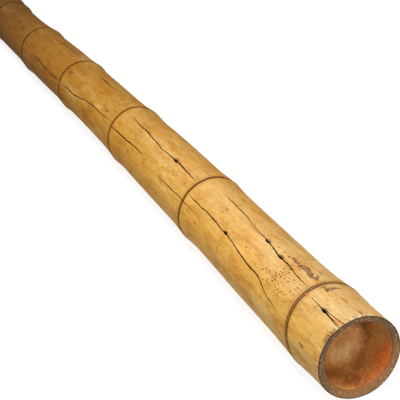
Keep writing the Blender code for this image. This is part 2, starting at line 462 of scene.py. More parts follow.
hollow = {
    "diaphragm": 0.0064,
    "nearFillet": 0.0150, "nearDish": 0.0022, "nearShift": (0.0, -0.0005, 0.0014),
    "farFillet": 0.0150, "farDish": -0.0020,
    "mouthWear": ((0.0, 0.0012), (0.0006, 0.0007), (0.0016, 0.0002), (0.0030, 0.0)),  # depth, how much wider
    "cupSides": 124, "cupSpacing": 0.0035, "cupSteps": 9, "overreach": 0.004,
    "unevenness": 0.0008, "bumps": 0.0016, "bumpScale": 150.0,
    "chamberSides": 40, "chamberFillet": 0.0145, "chamberSteps": 5, "chamberWall": 14,
    "diskParts": (0.8, 0.6, 0.42, 0.26, 0.12, 0.03),  # stations across a diaphragm, as shares of its radius
    "diskGap": 0.0006,  # keeps the stations of a flat diaphragm apart
}


def filletStations(end, towards, fillet, dish, steps):
    # from the bore's wall to the middle of the diaphragm at end
    # towards is 1 where the wall lies at lower distances
    places, insets = [], []
    for turn in np.linspace(0, math.pi / 2, steps):
        places.append(end - towards * fillet * (1 - math.sin(turn)))
        insets.append(fillet * (1 - math.cos(turn)))
    flat = float(bore(end)) - fillet
    for part in hollow["diskParts"]:
        places.append(end + towards * dish * (1 - part**2))
        insets.append(float(bore(end)) - flat * part)
    return places, insets


def cupStations(start, end, towards, fillet, dish, shift=(0.0, 0.0, 0.0)):
    # start is beyond the cut, end the face of the diaphragm
    cut = 0.0 if towards > 0 else culm["length"]
    mouth = [start, *[cut + towards * depth for depth, _ in hollow["mouthWear"]]]
    wear = [hollow["mouthWear"][0][1], *[wider for _, wider in hollow["mouthWear"]]]
    wallEnd = end - towards * fillet
    count = max(4, round(abs(wallEnd - mouth[-1]) / hollow["cupSpacing"]))
    wall = np.linspace(mouth[-1], wallEnd, count, endpoint=False)[1:]
    places, insets = filletStations(end, towards, fillet, dish, hollow["cupSteps"])
    at = np.array([*mouth, *wall, *places])
    inset = np.array([*[-wider for wider in wear], *[0] * len(wall), *insets])
    away = bore(np.clip(at, 0, culm["length"])) - inset
    return {"at": at, "away": away, "shift": np.tile(shift, (len(at), 1))}


def chamberStations(start, stop):
    fillet, steps, gap = hollow["chamberFillet"], hollow["chamberSteps"], hollow["diskGap"]
    before, beforeInset = filletStations(start, -1, fillet, 0.0, steps)
    after, afterInset = filletStations(stop, 1, fillet, 0.0, steps)
    wall = np.linspace(before[0], after[0], hollow["chamberWall"])[1:-1]
    at = np.array([*before[::-1], *wall, *after])
    inset = np.array([*beforeInset[::-1], *[0] * len(wall), *afterInset])
    count = len(hollow["diskParts"])
    at[:count] -= np.linspace(gap, 0.0, count)
    at[-count:] += np.linspace(0.0, gap, count)
    return {"at": at, "away": bore(at) - inset}


# Drying splits: (distance in mm, degrees, width in mm) along each; the last group is on the side turned away

splits = {
    "stub": ((46, 119.5, 0.4), (36, 120, 0.9), (26, 120, 1.6), (18, 121, 2.0), (9, 122, 1.7), (4, 122.7, 0.8),
             (-3, 123.5, 0.7)),
    "firstRight": (
        (200, 102, 0.5), (181, 102, 1.2), (163, 102.9, 1.4), (149, 104.3, 1.8), (129, 107.4, 1.6),
        (113, 107.3, 1.8), (98, 109, 1.5), (81, 111, 1.1), (62, 112.5, 0.4)),
    "firstLeft": (
        (331, 138, 0.5), (314, 138, 1.0), (290, 138.7, 1.3), (280, 137.5, 1.5), (244, 138, 1.6),
        (221, 139, 1.5), (206, 140, 1.5), (187, 143.5, 1.6), (163, 145.7, 1.8), (140, 148, 1.8),
        (126, 150, 1.6), (114, 155, 1.4), (106, 158.7, 1.1), (94, 161, 0.8), (79, 164, 0.4)),
    "secondLeft": ((609, 151, 0.5), (582, 149, 2.0), (549, 149, 2.2), (512, 146, 1.8), (479, 145, 0.5)),
    "secondMiddle": (
        (585, 110, 0.5), (550, 111, 1.7), (517, 111, 2.0), (493, 113, 1.8), (463, 115, 1.7), (432, 114, 1.8),
        (411, 113, 2.2), (392, 114, 2.3), (370, 114, 1.8), (342, 116, 0.5)),
    "secondLow": ((424, 153, 0.4), (390, 153, 1.0), (363, 152, 1.1), (329, 152, 0.9), (294, 153, 0.4)),
    "thirdLeft": ((871, 161, 0.5), (843, 161, 1.9), (801, 160, 2.2), (770, 157, 1.9), (751, 153.6, 0.8)),
    "thirdRight": ((790, 87, 0.5), (759, 88, 2.3), (716, 89, 0.5)),
    "fourthLeft": ((1058, 156, 0.5), (1016, 159, 2.3), (964, 162, 2.7), (924, 163, 2.5), (883, 161, 0.6)),
    "fourthRight": ((1051, 89, 0.5), (1008, 87, 1.5), (973, 85, 1.9), (940, 84, 2.2), (899, 86, 0.5)),
    "backFirst": ((318, 18, 0.5), (276, 16, 1.4), (228, 19, 1.7), (180, 21, 1.4), (132, 20, 0.5)),
    "backSecond": ((586, -24, 0.5), (540, -22, 1.4), (486, -25, 1.6), (430, -23, 0.5)),
    "backThird": ((846, 31, 0.5), (800, 33, 1.5), (742, 30, 1.6), (690, 32, 0.5)),
    "backFourth": ((1096, -8, 0.5), (1050, -10, 1.3), (1000, -7, 0.5)),
    "backFifth": ((1370, 12, 0.5), (1316, 14, 1.6), (1250, 11, 1.8), (1196, 13, 1.4), (1150, 12, 0.5)),
    "farStub": ((1503, -38, 1.8), (1478, -37, 1.5), (1444, -38, 1.1), (1416, -37, 0.4)),
}
splitBranches = {
    "stubBranch": ((26, 119, 0.4), (18, 118.3, 0.8), (9, 117, 0.8), (-3, 115, 0.9)),
    "firstRightFar": ((292, 96.7, 0.3), (262, 96, 1.3), (240, 96.7, 1.6), (222, 97.6, 1.4), (196, 100, 0.4)),
    "thirdLeftNear": ((758, 151, 1.0), (740, 150.4, 1.6), (719, 149, 2.0), (678, 148, 1.7), (627, 145, 0.5)),
}
splitShape = {
    "spacing": 0.0034, "overreach": 0.004, "floorWidth": 0.5, "lip": 0.00024, "lipDepth": 0.0004,
    "narrower": 0.62,  # the bottom of the lips against the widths given above
    "leastWidth": 0.00016, "widthVaries": (0.7, 1.2), "shallowEnd": 0.0011, "runOut": 0.014,
    "runOutPower": 0.7, "jag": 0.00042, "quickJag": 0.45, "seed": 7,
    "closesBefore": 0.0075, "closesWithin": 0.003,  # this near the near cut, a split has only parted the skin
    "skinShare": 0.35,  # how deep the ends of a split in the skin alone are
}


def splitRun(path, rng, shape, throughWall=True):
    path = np.array(sorted(path))
    at = np.arange(path[0, 0] * mm, path[-1, 0] * mm, shape["spacing"])
    at = np.append(at, path[-1, 0] * mm)
    angle = np.radians(through(path[:, 0] * mm, path[:, 1], at))
    width = through(path[:, 0] * mm, path[:, 2], at) * mm
    # a slow wander and a quick one
    count = max(3, len(at) // 4)
    slow = np.interp(at, np.linspace(at[0], at[-1], count), rng.normal(0, 1, count))
    quick = rng.normal(0, shape["quickJag"], len(at))
    skinAt = girth(at) + swelling(at)
    angle += (slow + quick) * shape["jag"] / skinAt
    width = width * shape["narrower"] * rng.uniform(*shape["widthVaries"], len(at))
    width = np.clip(width, shape["leastWidth"], None)
    # an end beyond a cut doesn't run out
    beyond = int(at[0] < 0), int(at[-1] > culm["length"])
    toEnd = np.minimum(at - at[0] + beyond[0], at[-1] - at + beyond[1])
    deep = np.clip(toEnd / shape["runOut"], 0, 1) ** shape["runOutPower"]
    shallow = skinAt - shape["shallowEnd"]
    if throughWall:
        floor = shallow - deep * (shallow - bore(at) + shape["overreach"])
        closes = (shape["closesBefore"] + shape["closesWithin"] - at) / shape["closesWithin"]
        floor += np.clip(closes, 0, 1) * (shallow - floor)
    else:
        floor = skinAt - shape["shallowEnd"] * (shape["skinShare"] + (1 - shape["skinShare"]) * deep)
    return {"at": at, "angle": angle, "width": width, "away": skinAt, "floor": floor}


def makeSplitTree():
    tree, given = newTree("splitAlongCulm", "GeometryNodeTree", {
        "Stations": "Geometry", "Overreach": 0.004, "Floor width": 0.5, "Lip": 0.0002, "Lip depth": 0.0004,
        "Wall": "Material"}, {"Splits": "Geometry"})
    # eight corners: up one side and down the other, on four levels from above the skin to the floor
    corner = put("GeometryNodeInputIndex")
    circle = put("GeometryNodeCurvePrimitiveCircle", {"Resolution": 8, "Radius": 0.001})
    circle = storedField(circle, "side", scaled(calc("GREATER_THAN", corner, 3.5), 2, -1))
    circle = storedField(circle, "level", scaled(abs(corner - 3.5), -1, 3.5))
    tube = swept(given["Stations"], circle)

    level, radius, floor = (attribute(key) for key in ("level", "away", "floor"))
    heights = [radius + given["Overreach"], radius, radius - given["Lip depth"], floor]
    height = heights[0]
    for i, (low, high) in enumerate(zip(heights, heights[1:])):
        height = height + clamped(level - i) * (high - low)
    half = attribute("width") * 0.5
    narrowing = clamped(level - 2) * (1 - given["Floor width"])
    lip = calc("LESS_THAN", level, 1.5) * calc("MINIMUM", given["Lip"], half)
    turn = attribute("side") * (half * (1 - narrowing) + lip) / radius
    tube = put("GeometryNodeSetPosition", {
        "Geometry": tube, "Position": placed(attribute("angle") + turn, height)})
    return finished(tree, {"Splits": dressed(tube, given["Wall"])})


# Splinter notches that the saw left at the near rim: (from degrees, to degrees, how many)

rimNotches = {
    "spans": ((82, 112, 12), (127, 150, 16), (152, 200, 6), (20, 78, 7), (205, 340, 7)),
    "length": (2.2, 7.0), "width": (0.42, 0.78), "start": -1.5, "taper": (0.9, 0.3), "placeVaries": (0.2, 0.8),
    "shape": {**splitShape, "spacing": 0.0016, "shallowEnd": 0.0016, "runOut": 0.003, "jag": 0.00012},
}


def notchRuns(rng):
    runs, (half, end) = [], rimNotches["taper"]
    for start, stop, count in rimNotches["spans"]:
        step = (stop - start) / count
        for i in range(count):
            degrees = start + (i + rng.uniform(*rimNotches["placeVaries"])) * step
            length, width = rng.uniform(*rimNotches["length"]), rng.uniform(*rimNotches["width"])
            path = ((rimNotches["start"], degrees, width), (length * 0.5, degrees, width * half),
                    (length, degrees, width * end))
            runs.append(splitRun(path, rng, rimNotches["shape"], throughWall=False))
    return runs


# Exit holes of boring beetles: (distance mm, degrees, length mm, width mm, slope of the low side mm)

beetleHoles = (
    (25.6, 120.4, 8.2, 3.1, 1.3), (163, 103.2, 12.5, 2.8, 2.0), (129, 107.2, 13.5, 2.9, 2.2),
    (221.5, 139.0, 11.0, 2.8, 1.0), (410, 113.3, 13.5, 3.8, 1.6), (768, 32, 10.0, 3.2, 1.4),
    (1268, 12, 10.5, 3.2, 1.4),
)
holeShape = {
    "corners": 20, "pinch": 0.35,
    # height over the skin, share of the size, share of the slope
    "levels": ((0.0030, 1.0, 1.0), (0.0, 1.0, 1.0), (-0.0004, 0.94, 0.55), (-0.0008, 0.86, 0.0),
               (-0.0040, 0.72, 0.0), (-0.0098, 0.56, 0.0)),
}


def beetleHole(distance, degrees, length, width, slope):
    # a lens-shaped well
    at, angle = distance * mm, math.radians(degrees)
    skinAt = float(girth(at) + swelling(at))
    corners = holeShape["corners"]
    turns = np.linspace(0, math.tau, corners, endpoint=False)
    rings = []
    for height, size, sloped in holeShape["levels"]:
        along = length / 2 * mm * size * np.cos(turns)
        across = width / 2 * mm * size * np.sin(turns) * np.abs(np.sin(turns)) ** holeShape["pinch"]
        across = np.where(across < 0, across * (1 + sloped * slope / (width / 2)), across)
        stations, around = at + along, angle + across / skinAt
        away = skinAt + height
        line = middle(stations)
        rings.append(np.stack([line[:, 0] - leanAt(stations, around), line[:, 1] + away * np.cos(around),
                               line[:, 2] + away * np.sin(around)], -1))
    work = bmesh.new()
    rows = [[work.verts.new(point) for point in ring] for ring in rings]
    for first, second in zip(rows, rows[1:]):
        for i in range(corners):
            j = (i + 1) % corners
            work.faces.new((first[i], first[j], second[j], second[i]))
    work.faces.new(rows[0])
    work.faces.new(rows[-1])
    bmesh.ops.recalc_face_normals(work, faces=work.faces)
    mesh = bpy.data.meshes.new("beetleHole")
    work.to_mesh(mesh)
    work.free()
    mesh.materials.append(materials["holeWall"])
    return mesh


# Pin holes, a millimetre wide, in clusters: (distance mm, degrees, reach along and around mm, density)

pinHoles = {
    "clusters": (
        (104, 133, 34, 14, 0.85), (84, 127, 14, 8, 0.4), (122, 143, 18, 7, 0.5), (137, 147, 6, 4, 0.7),
        (110, 173, 8, 4, 0.65), (142, 168, 9, 3, 0.6), (190, 173, 6, 3, 0.5), (202, 156, 9, 3, 0.5),
        (170, 131, 10, 4, 0.5), (398, 137, 26, 9, 0.45), (392, 156, 22, 8, 0.35), (465, 144, 16, 6, 0.45),
        (404, 165, 12, 4, 0.55), (372, 165, 16, 4, 0.5), (403, 131, 6, 3, 0.6), (72, 143, 11, 5, 0.4),
        (80, 165, 10, 4, 0.6), (109, 152, 9, 4, 0.55), (64, 128, 7, 3, 0.4), (255, 125, 26, 8, 0.2),
        (84, 112, 9, 4, 0.25), (640, 130, 20, 6, 0.3), (300, 60, 30, 8, 0.5), (560, 20, 40, 10, 0.5),
        (980, 40, 35, 9, 0.45), (1220, 130, 30, 8, 0.3), (1330, -20, 30, 10, 0.4), (700, -30, 30, 8, 0.4),
    ),
    "density": 78000.0, "leastGap": 0.0020, "radius": 0.00064, "depth": 0.0050, "seed": 12,
    "sides": 7, "sizeVaries": (0.65, 1.35),
    "reach": (1.35, 0.7),  # where a cluster ends, and over what share of its reach it fades
}


def makePinHoleTree():
    tree, given = newTree("pinHolesOnSkin", "GeometryNodeTree", {
        "Skin": "Geometry", "Density": 1.0, "Least gap": 0.002, "Radius": 0.0005, "Depth": 0.005, "Seed": 0,
        "Wall": "Material"}, {"Holes": "Geometry"})
    spread = put("GeometryNodeDistributePointsOnFaces", {
        "Mesh": given["Skin"], "Distance Min": given["Least gap"], "Density Max": given["Density"],
        "Density Factor": attribute("pinDensity"), "Seed": given["Seed"]}, output=None,
        distribute_method="POISSON")
    pin = put("GeometryNodeMeshCylinder", {
        "Vertices": pinHoles["sides"], "Radius": given["Radius"], "Depth": given["Depth"]})
    least, most = pinHoles["sizeVaries"]
    size = put("FunctionNodeRandomValue", {2: least, 3: most, "Seed": given["Seed"]}, output=1,
               data_type="FLOAT")
    pins = put("GeometryNodeInstanceOnPoints", {
        "Points": spread["Points"], "Instance": pin, "Rotation": spread["Rotation"],
        "Scale": combined(size, size, 1.0)})
    return finished(tree, {"Holes": dressed(pins, given["Wall"])})


def paintPinDensity(mesh):
    at, angle, _ = unrolledMesh(mesh)
    reach, fade = pinHoles["reach"]
    density = np.zeros(len(at))
    for distance, degrees, along, around, level in pinHoles["clusters"]:
        aside = (angle - math.radians(degrees) + math.pi) % math.tau - math.pi
        away = np.hypot((at - distance * mm) / (along * mm), aside * culm["usualRadius"] / (around * mm))
        density = np.maximum(density, level * np.clip(reach - away, 0, fade) / fade)
    store(mesh, "pinDensity", density)


def makeCulm():
    tube, split, pins = makeTubeTree(), makeSplitTree(), makePinHoleTree()
    skinMesh = runTree("caneSkin", stationMesh("skinStations", [skinStations()]), tube, {
        "Sides": skin["sides"], "Swelling height": culm["swellHeight"], "Swelling near": culm["swellNear"],
        "Swelling far": culm["swellFar"], "Ledge height": skin["ledgeHeight"],
        "Unevenness": skin["unevenness"], "Bumps": 0.0, "Lowest": 0.0, "Wall": materials["skin"],
        "End": materials["cutFace"]})
    print("skin:", len(skinMesh.vertices), "points")

    cutters = []
    cup = {"Sides": hollow["cupSides"], "Unevenness": hollow["unevenness"], "Bumps": hollow["bumps"],
           "Bump scale": hollow["bumpScale"], "Wall": materials["hollow"], "End": materials["hollow"]}
    near = cupStations(-hollow["overreach"], culm["nodeAt"][0] - hollow["diaphragm"] / 2, 1,
                       hollow["nearFillet"], hollow["nearDish"], hollow["nearShift"])
    far = cupStations(culm["length"] + hollow["overreach"], culm["nodeAt"][-1] + hollow["diaphragm"] / 2, -1,
                      hollow["farFillet"], hollow["farDish"])
    for name, run in (("nearCup", near), ("farCup", far)):
        cutters.append(runTree(name, stationMesh(name, [run]), tube, cup))
    for before, after in zip(culm["nodeAt"], culm["nodeAt"][1:]):
        run = chamberStations(before + hollow["diaphragm"] / 2, after - hollow["diaphragm"] / 2)
        cutters.append(runTree("chamber", stationMesh("chamber", [run]), tube, {
            **cup, "Sides": hollow["chamberSides"], "Bumps": 0.0}))
    print("hollows:", len(cutters))

    rng = np.random.default_rng(splitShape["seed"])
    shape = {"Overreach": splitShape["overreach"], "Floor width": splitShape["floorWidth"],
             "Lip": splitShape["lip"], "Lip depth": splitShape["lipDepth"], "Wall": materials["splitWall"]}
    groups = [[splitRun(path, rng, splitShape) for path in splits.values()],
              [splitRun(path, rng, splitShape, name != "stubBranch") for name, path in splitBranches.items()],
              notchRuns(rng)]
    for runs in groups:
        cutters.append(runTree("splits", stationMesh("splits", runs), split, shape))
    cutters += [beetleHole(*hole) for hole in beetleHoles]
    paintPinDensity(skinMesh)
    cutters.append(runTree("pinHoles", skinMesh.copy(), pins, {
        "Density": pinHoles["density"], "Least gap": pinHoles["leastGap"], "Radius": pinHoles["radius"],
        "Depth": pinHoles["depth"], "Seed": pinHoles["seed"], "Wall": materials["pinWall"]}))
    print("splits, beetle holes and pin holes:", len(cutters), "cutters in all")

    tools = bpy.data.collections.new("cutters")
    bpy.context.scene.collection.children.link(tools)
    for mesh in cutters:
        tools.objects.link(bpy.data.objects.new("cutter", mesh))
    cane = bpy.data.objects.new("caneCulm", skinMesh)
    bpy.context.scene.collection.objects.link(cane)
    cut = cane.modifiers.new("hollows and splits", "BOOLEAN")
    cut.operation, cut.operand_type, cut.collection = "DIFFERENCE", "COLLECTION", tools
    cut.solver, cut.material_mode = "MANIFOLD", "TRANSFER"
    bpy.context.view_layer.update()
    mesh = bpy.data.meshes.new_from_object(cane.evaluated_get(bpy.context.evaluated_depsgraph_get()))
    mesh.name = "caneCulm"
    cane.modifiers.clear()
    cane.data = mesh
    for item in list(tools.objects):
        bpy.data.objects.remove(item, do_unlink=True)
    bpy.data.collections.remove(tools)
    finishMesh(mesh)
    print("culm:", len(mesh.vertices), "points,", sum(len(p.vertices) - 2 for p in mesh.polygons),
          "triangles")
    return cane


def finishMesh(mesh):
    # smooth shading with the cut edges sharp, and what the materials read at every point
    mesh.shade_smooth()
    mesh.set_sharp_from_angle(angle=math.radians(skin["sharpAngle"]))
    at, angle, radius = unrolledMesh(mesh)
    store(mesh, "straight", np.stack([at, radius * np.cos(angle), radius * np.sin(angle)], -1))
    store(mesh, "depth", girth(at) + swelling(at) - radius)
    for name in ("pinDensity", "UVMap"):
        if name in mesh.attributes:
            mesh.attributes.remove(mesh.attributes[name])


# Shader groups that the materials share

groups = {}


def tone(red, green, blue, alpha=1.0):
    # a colour from 0-255 display values
    parts = [v / 255 for v in (red, green, blue)]
    return (*[v / 12.92 if v < 0.04045 else ((v + 0.055) / 1.055) ** 2.4 for v in parts], alpha)


def mixed(factor, first, second, blend="MIX"):
    # each colour is a field or a tuple of display values
    first, second = (tone(*colour) if isinstance(colour, tuple) else colour for colour in (first, second))
    return put("ShaderNodeMix", {0: factor, 6: first, 7: second}, output=2, data_type="RGBA",
               blend_type=blend)


def shaded(colour, shade):
    grey = put("ShaderNodeCombineColor", {0: shade, 1: shade, 2: shade})
    return mixed(1.0, colour, grey, "MULTIPLY")


def ramp(value, stops):
    # stops are (position, display values)
    result = put("ShaderNodeValToRGB", {"Fac": value})
    elements = result.socket.node.color_ramp.elements
    while len(elements) < len(stops):
        elements.new(1.0)
    for element, (position, rgb) in zip(elements, stops):
        element.position, element.color = position, tone(*rgb)
    return result


def smooth(value, start, stop):
    # 0 at start and 1 at stop, smoothly; start may lie above stop
    return put("ShaderNodeMapRange", {"Value": value, "From Min": start, "From Max": stop},
               interpolation_type="SMOOTHSTEP")


def stretched(place, along):
    return vector("MULTIPLY", place, combined(along, 1.0, 1.0))


def group(name, values):
    return put("ShaderNodeGroup", values, output=None, node_tree=groups[name])


def makePlaceOnSkin():
    # distance from the near cut and distance round from the top line, in mm, both plain and ragged
    tree, given = newTree("placeOnSkin", "ShaderNodeTree", {"Raggedness": 0.8}, {
        "Straight": "Vector", "Along": "Float", "Around": "Float", "Ragged along": "Float",
        "Ragged around": "Float"})
    straight = put("ShaderNodeAttribute", output=1, attribute_name="straight")
    parts = parted(straight)
    along = parts[0] * 1000
    around = calc("ARCTAN2", parts[1] * -1, parts[2]) * (culm["usualRadius"] * 1000)
    torn = parted(noise(stretched(straight, 0.5), 420.0, detail=4.0, output=1))
    ragged = [scaled(torn[i] - 0.5, given["Raggedness"] * size, base)
              for i, size, base in ((0, 8.0, along), (1, 4.0, around))]
    return finished(tree, {"Straight": straight, "Along": along, "Around": around,
                           "Ragged along": ragged[0], "Ragged around": ragged[1]})


def makeFibreGrain():
    # long streaks along the culm
    tree, given = newTree("fibreGrain", "ShaderNodeTree", {
        "Straight": "Vector", "Fineness": 700.0, "Stretch": 0.04}, {"Streaks": "Float"})
    streaks = noise(stretched(given["Straight"], given["Stretch"]), given["Fineness"], detail=4.0)
    return finished(tree, {"Streaks": smooth(streaks, 0.28, 0.72)})


def makeSoftPatches():
    tree, given = newTree("softPatches", "ShaderNodeTree", {
        "Straight": "Vector", "Scale": 30.0, "Stretch": 0.4, "Start": 0.4, "Stop": 0.65, "Seed": 0.0},
        {"Mask": "Float"})
    place = vector("ADD", stretched(given["Straight"], given["Stretch"]), given["Seed"])
    patches = noise(place, given["Scale"], detail=3.0, distortion=0.3)
    return finished(tree, {"Mask": smooth(patches, given["Start"], given["Stop"])})


def makeBlot():
    # an oval at a place on the skin, in mm, with its body and its rim
    tree, given = newTree("blot", "ShaderNodeTree", {
        "Along": 0.0, "Around": 0.0, "Centre along": 0.0, "Centre around": 0.0, "Half length": 5.0,
        "Half width": 2.0, "Turn": 0.0, "Softness": 0.15}, {"Body": "Float", "Rim": "Float"})
    x, y = given["Along"] - given["Centre along"], given["Around"] - given["Centre around"]
    cosine, sine = calc("COSINE", given["Turn"]), calc("SINE", given["Turn"])
    u, v = x * cosine + y * sine, y * cosine - x * sine
    away = calc("SQRT", (u / given["Half length"]) ** 2 + (v / given["Half width"]) ** 2)
    return finished(tree, {"Body": smooth(away, 1.0 + given["Softness"], 1.0 - given["Softness"]),
                           "Rim": smooth(abs(away - 1.0), 0.34, 0.05)})


ringBands = {  # centre from the ring's middle, and how far from it a band is whole and gone, in mm
    "crest": (0.0, 0.05, 0.60), "lines": ((-1.10, 0.45, 1.00), (1.45, 0.80, 1.50)),
    "stains": ((2.0, 1.0, 9.0), (-2.0, 0.5, 5.0)), "nearStain": 0.7,
}


def makeRingBand():
    # the crest, the two dark lines and the stained band of one ring
    tree, given = newTree("ringBand", "ShaderNodeTree", {"Along": 0.0, "Ring": 0.0}, {
        "Crest": "Float", "Lines": "Float", "Stain": "Float"})
    gap = given["Along"] - given["Ring"]

    def band(centre, inner, outer):
        return smooth(abs(gap - centre), outer, inner)

    far, near = (band(*values) for values in ringBands["stains"])
    return finished(tree, {
        "Crest": band(*ringBands["crest"]),
        "Lines": highest([band(*values) for values in ringBands["lines"]]),
        "Stain": calc("MAXIMUM", far, near * ringBands["nearStain"])})


def newMaterial(name, roughness=0.5):
    paint = bpy.data.materials.new(name)
    paint.use_nodes = True
    current["tree"] = paint.node_tree
    nodes = paint.node_tree.nodes
    nodes["Principled BSDF"].location, nodes["Material Output"].location = (2800, 300), (3100, 300)
    shader = nodes["Principled BSDF"].inputs
    shader["Roughness"].default_value = roughness
    return paint, shader


def bumped(shader, height, strength, distance):
    feed(shader["Normal"], put("ShaderNodeBump", {"Strength": strength, "Distance": distance,
                                                  "Height": height}))


# The skin: golden near the near cut and browner towards the far one, the browning partly the cane's own tone
# and partly painted shade of the light falling off, with rings, scars and blots

skinFinish = {
    "tonesAndPaintedFalloff": (  # distance in mm and colour; the darkening towards the far end is partly the cane's own browning and partly painted shade where the light falls off
        (0, (194, 160, 108)), (240, (201, 160, 98)), (470, (190, 146, 78)), (740, (169, 123, 54)),
        (1010, (146, 101, 42)), (1320, (113, 77, 35)), (1500, (106, 72, 34))),
    "warmPatch": (250, 226, 180), "ochre": (226, 196, 140), "palePatch": (244, 214, 160),
    # the warm side tint and the olive one here are painted shade on the sides of the culm
    "leftShade": (255, 250, 212), "sideShade": (214, 206, 158),
    "ringLine": (32, 16, 8), "firstCrest": (176, 124, 86), "ringCrest": (80, 48, 26),
    "ringStain": (206, 160, 100), "speckTone": (92, 56, 28), "frayAndHighlight": (246, 226, 186), "dirt": (70, 46, 26),
    # scale, stretch, start, stop and seed
    "patches": {"warm": (26.0, 0.35, 0.42, 0.68, 0.0), "clouds": (110.0, 0.30, 0.44, 0.72, 9.0),
                "pale": (44.0, 0.16, 0.50, 0.76, 4.0), "dashes": (36.0, 0.5, 0.46, 0.62, 21.0)},
    # how strong the patches are: what the near part adds, and the least
    "warmShare": (0.25, 0.30), "paleShare": (0.16, 0.06), "cloudShare": 0.60,
    # where each mask is 0 and where it is 1, in mm along the culm or round it from its top
    # the warm side, turned-away and underside masks place the painted shade on the sides
    "calm": (1150.0, 750.0), "leftShadeRound": ((14.0, 46.0), (78.0, 54.0)), "leftShadeAlong": (1000.0, 780.0),
    "turnedRound": (15.0, -14.0), "turnedAlong": (1100.0, 700.0), "turnedNear": (90.0, 240.0),
    "turnedShare": 0.55,
    "underRound": (38.0, 78.0), "underAlong": (500.0, 1100.0), "underShare": (0.45, 0.38),
    "coarse": (420.0, 0.07), "fine": (1100.0, 0.10),  # fineness and stretch of the fibres
    "fineGrain": 0.20, "mottles": 0.30, "mottleScale": 250.0,
    # stretch, scale, detail, start, stop and strength
    "specks": (0.45, 560.0, 1.5, 0.64, 0.73, 0.68), "dashes": (0.16, 760.0, 1.0, 0.66, 0.76, 0.56),
    "stainShare": 0.38, "crestShare": 0.85, "lineShare": 0.95, "firstCrestAlong": (100.0, 300.0),
    "frayedShare": 0.75, "frayedEdge": (6.0, 0.5), "frayedRound": (20.0, 13.0), "dirtShare": 0.8,
    "dirtEdge": (0.9, 0.2),
    "roughness": 0.50, "specular": 0.004, "specularTint": (0.90, 0.62, 0.34, 1.0),
}
# (distance mm, degrees, half length mm, half width mm, turn in degrees)
scars = {
    "grey": ((89, 94.2, 12.0, 2.1, 0), (97, 93.2, 6.5, 2.6, 12), (82, 95.3, 6.0, 2.3, -14),
             (71, 97.2, 5.0, 1.5, 14), (68, 92.6, 5.0, 1.0, -26), (110, 95.3, 3.4, 1.5, 20),
             (116.5, 94, 3.6, 1.7, -10), (44.5, 91.5, 1.7, 5.0, 3), (104, 97.5, 2.8, 0.8, -15)),
    "brown": ((27, 89.5, 4.2, 0.9, 12), (6.5, 87.5, 2.6, 1.0, 0), (44, 81, 1.3, 1.3, 0),
              (46.5, 97.0, 1.1, 2.4, 0), (50, 98, 1.2, 2.6, 0), (124, 97, 1.7, 0.8, 0),
              (134, 97, 1.7, 0.8, 20), (146, 97, 1.5, 0.8, 0), (29, 173.5, 3.2, 1.4, -10),
              (77.5, 82, 4.2, 0.8, 0), (96, 101, 3.0, 0.6, 0), (68, 122, 2.8, 0.6, 0),
              (113.5, 75, 1.4, 0.8, 0), (116, 65.5, 1.4, 0.8, 0), (176, 131.5, 1.4, 0.9, 0),
              (289, 164, 3.2, 1.0, -10), (254, 112.5, 1.8, 1.2, 0), (529, 163.5, 3.6, 1.4, 8),
              (662, 98.5, 2.2, 1.1, 0), (654, 135, 5.2, 1.4, 18), (647, 117.5, 2.2, 1.0, 0),
              (719, 117, 4.4, 1.1, 8), (859, 129.5, 7.0, 2.2, 10), (884, 141, 4.0, 1.5, 0),
              (880, 123.5, 4.0, 1.6, 0), (1034, 88, 5.5, 1.8, 0), (1137, 111, 5.0, 2.0, 0),
              (212, 40, 6.0, 2.0, 10), (520, 8, 8.0, 2.4, -8), (905, 28, 6.0, 2.0, 0),
              (1215, -20, 8.0, 2.5, 12)),
    "green": ((450, 93, 6.5, 2.6, 5), (437, 88.5, 5.5, 2.2, -5), (396, 86.5, 4.5, 1.6, 0),
              (377, 77.5, 8.0, 2.8, 5), (355, 90, 7.0, 2.4, 0), (160, 70, 16.0, 3.0, 0),
              (700, 75, 18.0, 4.0, 0)),
    "amber": ((4.5, 119.0, 7.0, 2.3, 0), (409, 110.6, 8.5, 3.4, 0), (51, 120, 2.4, 1.2, 0)),
    "scratch": ((223, 161, 0.5, 14.0, 1), (222, 131, 0.35, 5.0, 0), (354, 127.5, 0.5, 3.6, 0),
                (698, 133, 0.45, 5.5, 4), (500, 127, 0.45, 9.5, -3), (276, 120, 0.35, 6.0, 5),
                (830, 60, 0.45, 9.0, 0), (1150, 150, 0.5, 8.0, 0)),
}
scarFinish = {  # body colour and strength, rim colour and strength, how rough, how deep, how soft
    "grey": ((138, 108, 82), 0.95, (80, 48, 24), 0.85, 0.25, 0.8, 0.5),
    "brown": ((122, 78, 40), 0.80, (104, 64, 30), 0.45, 0.15, 0.5, 0.16),
    "green": ((150, 124, 68), 0.62, (140, 112, 62), 0.16, 0.0, 0.0, 0.5),
    "amber": ((182, 108, 48), 0.66, (182, 112, 52), 0.12, 0.0, 0.0, 0.5),
    "scratch": ((110, 72, 38), 0.75, (120, 80, 44), 0.2, 0.1, 0.5, 0.16),
}
tornBorder = {"grey": ((0.10, 0.35), (0.72, 0.95))}  # where such a scar's border and its inside begin


